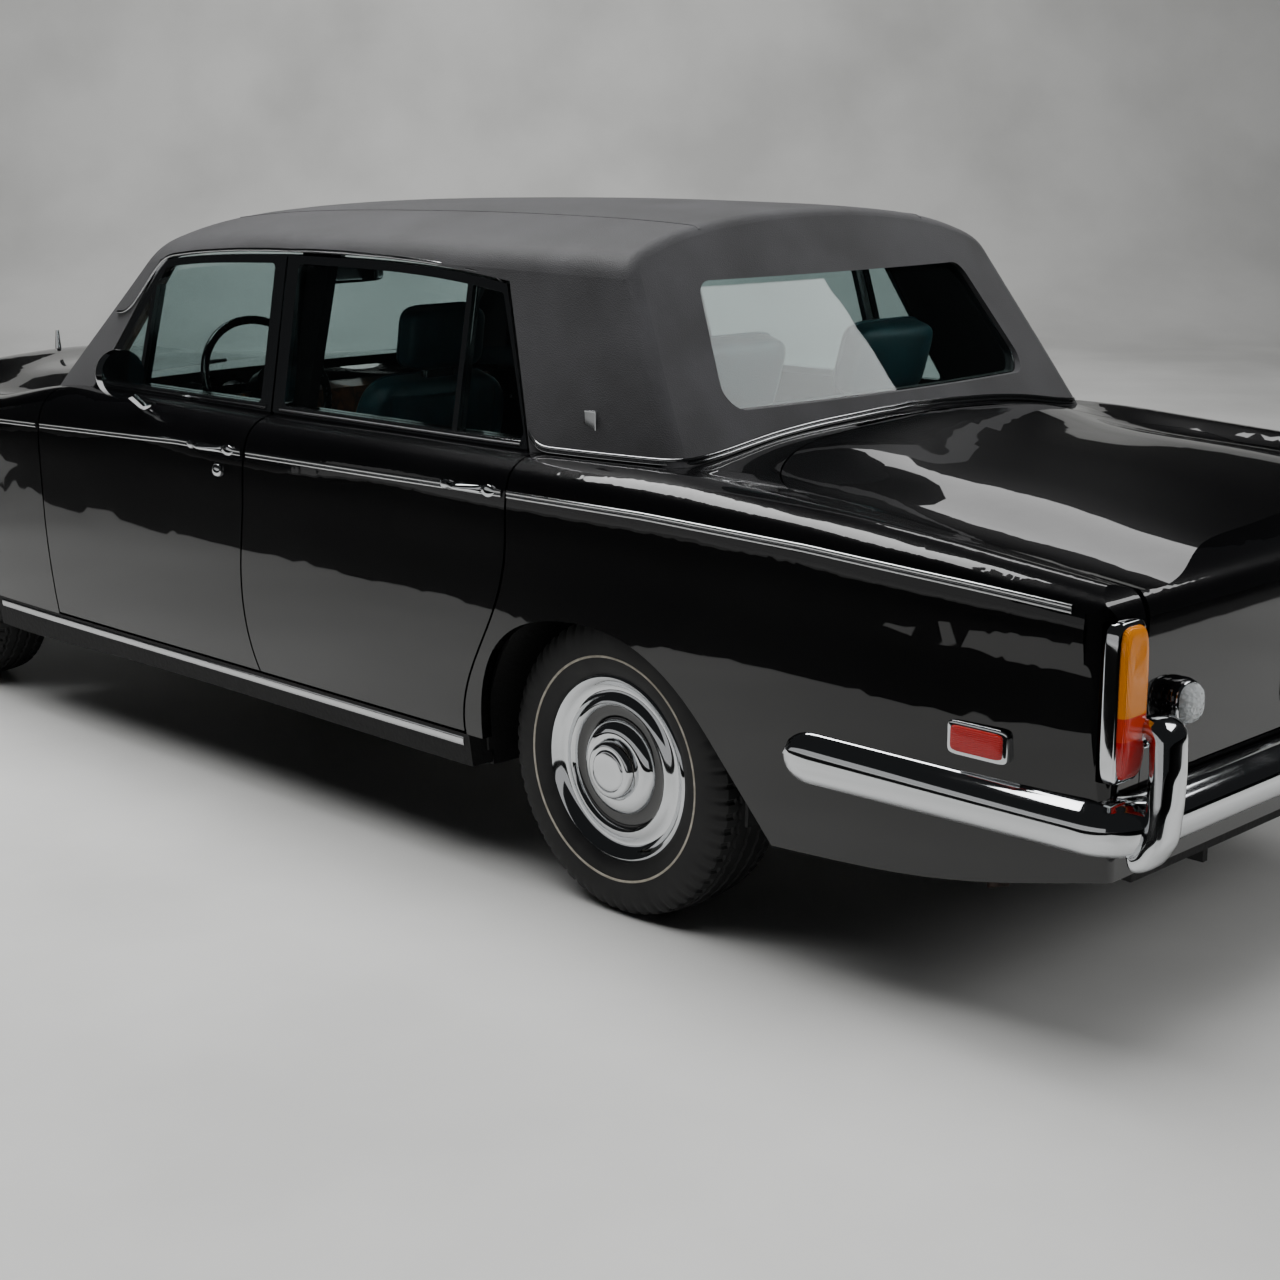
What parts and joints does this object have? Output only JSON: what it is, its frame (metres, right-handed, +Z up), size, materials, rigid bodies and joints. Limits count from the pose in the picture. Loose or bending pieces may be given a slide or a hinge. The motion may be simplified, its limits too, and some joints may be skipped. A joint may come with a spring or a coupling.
{
  "type": "luxury saloon car",
  "caption": "Long four-door saloon car with upright slatted grille, vinyl roof, chrome bumpers, opening doors, bonnet and boot, and steered wheels.",
  "frame": {"origin": "on the ground under the middle of the car's length and width", "axes": "+X forward, +Y to the car's left, +Z up"},
  "size_m": [5.169, 1.9884, 1.5177],
  "materials": {
    "rear_wings": "gloss black coachwork paint",
    "front_wings": "gloss black coachwork paint",
    "front_panel": "gloss black coachwork paint",
    "scuttle": "gloss black coachwork paint",
    "deck_panel": "gloss black coachwork paint",
    "tail_panel": "gloss black coachwork paint",
    "bonnet": "gloss black coachwork paint",
    "boot_lid": "gloss black coachwork paint",
    "front_door_left": "gloss black coachwork paint",
    "front_door_right": "gloss black coachwork paint",
    "rear_door_left": "gloss black coachwork paint",
    "rear_door_right": "gloss black coachwork paint",
    "floor_pan": "satin black underbody",
    "boot_floor": "satin black underbody",
    "engine_bay": "satin black underbody",
    "roof": "grained black vinyl",
    "windscreen": "lightly tinted glass",
    "rear_window": "lightly tinted glass",
    "front_glass_left": "lightly tinted glass",
    "front_glass_right": "lightly tinted glass",
    "rear_glass_left": "lightly tinted glass",
    "rear_glass_right": "lightly tinted glass",
    "headlamps": "clear glass over a reflector",
    "rear_lamps": "red lens",
    "grille": "polished",
    "front_bumper": "polished",
    "rear_bumper": "polished",
    "mirror_left": "polished",
    "mirror_right": "polished",
    "wheel_front_left": "polished",
    "wheel_front_right": "polished",
    "wheel_rear_left": "polished",
    "wheel_rear_right": "polished",
    "front_suspension": "black painted steel",
    "rear_axle": "black painted steel",
    "knuckle_left": "black painted steel",
    "knuckle_right": "black painted steel",
    "engine": "plain block",
    "exhaust": "dull steel",
    "front_seats": "dark teal leather",
    "rear_seat": "dark teal leather",
    "dashboard": "dark trim",
    "steering_wheel": "thin black rim",
    "tyre_front_left": "black rubber",
    "tyre_front_right": "black rubber",
    "tyre_rear_left": "black rubber",
    "tyre_rear_right": "black rubber"
  },
  "bodies": {
    "body": {"floor_pan": "floor_pan", "boot_floor": "boot_floor", "engine_bay": "engine_bay", "roof": "roof", "front_wings": "front_wings", "rear_wings": "rear_wings", "front_panel": "front_panel", "scuttle": "scuttle", "deck_panel": "deck_panel", "tail_panel": "tail_panel", "windscreen": "windscreen", "rear_window": "rear_window", "headlamps": "headlamps", "rear_lamps": "rear_lamps", "grille": "grille", "front_bumper": "front_bumper", "rear_bumper": "rear_bumper", "front_suspension": "front_suspension", "rear_axle": "rear_axle", "engine": "engine", "exhaust": "exhaust", "front_seats": "front_seats", "rear_seat": "rear_seat", "dashboard": "dashboard"},
    "front_left_door": {"front_door_left": "front_door_left", "front_glass_left": "front_glass_left", "mirror_left": "mirror_left"},
    "front_right_door": {"front_door_right": "front_door_right", "front_glass_right": "front_glass_right", "mirror_right": "mirror_right"},
    "rear_left_door": {"rear_door_left": "rear_door_left", "rear_glass_left": "rear_glass_left"},
    "rear_right_door": {"rear_door_right": "rear_door_right", "rear_glass_right": "rear_glass_right"},
    "bonnet_lid": {"bonnet": "bonnet"},
    "boot": {"boot_lid": "boot_lid"},
    "steer_wheel": {"steering_wheel": "steering_wheel"},
    "left_knuckle": {"knuckle_left": "knuckle_left"},
    "right_knuckle": {"knuckle_right": "knuckle_right"},
    "front_left_wheel": {"wheel_front_left": "wheel_front_left", "tyre_front_left": "tyre_front_left"},
    "front_right_wheel": {"wheel_front_right": "wheel_front_right", "tyre_front_right": "tyre_front_right"},
    "rear_left_wheel": {"wheel_rear_left": "wheel_rear_left", "tyre_rear_left": "tyre_rear_left"},
    "rear_right_wheel": {"wheel_rear_right": "wheel_rear_right", "tyre_rear_right": "tyre_rear_right"}
  },
  "joints": [
    {"name": "front_left_door_hinge", "type": "hinge", "parent": "body", "child": "front_left_door", "pos_m": [0.9275, 0.8795, 0.68], "axis": [0, 0, -1], "range_deg": [0, 65]},
    {"name": "front_right_door_hinge", "type": "hinge", "parent": "body", "child": "front_right_door", "pos_m": [0.9275, -0.8795, 0.68], "axis": [0, 0, 1], "range_deg": [0, 65]},
    {"name": "rear_left_door_hinge", "type": "hinge", "parent": "body", "child": "rear_left_door", "pos_m": [-0.087, 0.8795, 0.68], "axis": [0, 0, -1], "range_deg": [0, 65]},
    {"name": "rear_right_door_hinge", "type": "hinge", "parent": "body", "child": "rear_right_door", "pos_m": [-0.087, -0.8795, 0.68], "axis": [0, 0, 1], "range_deg": [0, 65]},
    {"name": "bonnet_hinge", "type": "hinge", "parent": "body", "child": "bonnet_lid", "pos_m": [1.226, 0, 0.996], "axis": [0, -1, 0], "range_deg": [0, 50]},
    {"name": "boot_hinge", "type": "hinge", "parent": "body", "child": "boot", "pos_m": [-1.451, 0, 1.048], "axis": [0, 1, 0], "range_deg": [0, 60]},
    {"name": "steer_left", "type": "hinge", "parent": "body", "child": "left_knuckle", "pos_m": [1.7805, 0.69, 0.336], "axis": [0, 0, 1], "range_deg": [-30, 30]},
    {"name": "steer_right", "type": "hinge", "parent": "body", "child": "right_knuckle", "pos_m": [1.7805, -0.69, 0.336], "axis": [0, 0, 1], "range_deg": [-30, 30]},
    {"name": "steering_wheel_turn", "type": "hinge", "parent": "body", "child": "steer_wheel", "pos_m": [0.6155, 0.38, 0.985], "axis": [-0.9063, 0, 0.4226], "range_deg": [-545, 545]},
    {"name": "front_left_wheel_spin", "type": "hinge", "parent": "left_knuckle", "child": "front_left_wheel", "pos_m": [1.7805, 0.73, 0.336], "axis": [0, 1, 0], "continuous": true},
    {"name": "front_right_wheel_spin", "type": "hinge", "parent": "right_knuckle", "child": "front_right_wheel", "pos_m": [1.7805, -0.73, 0.336], "axis": [0, 1, 0], "continuous": true},
    {"name": "rear_left_wheel_spin", "type": "hinge", "parent": "body", "child": "rear_left_wheel", "pos_m": [-1.2545, 0.73, 0.336], "axis": [0, 1, 0], "continuous": true},
    {"name": "rear_right_wheel_spin", "type": "hinge", "parent": "body", "child": "rear_right_wheel", "pos_m": [-1.2545, -0.73, 0.336], "axis": [0, 1, 0], "continuous": true}
  ],
  "couplings": [
    {"joint": "steer_right", "follows": "steer_left", "ratio": 1},
    {"joint": "steering_wheel_turn", "follows": "steer_left", "ratio": 18}
  ]
}
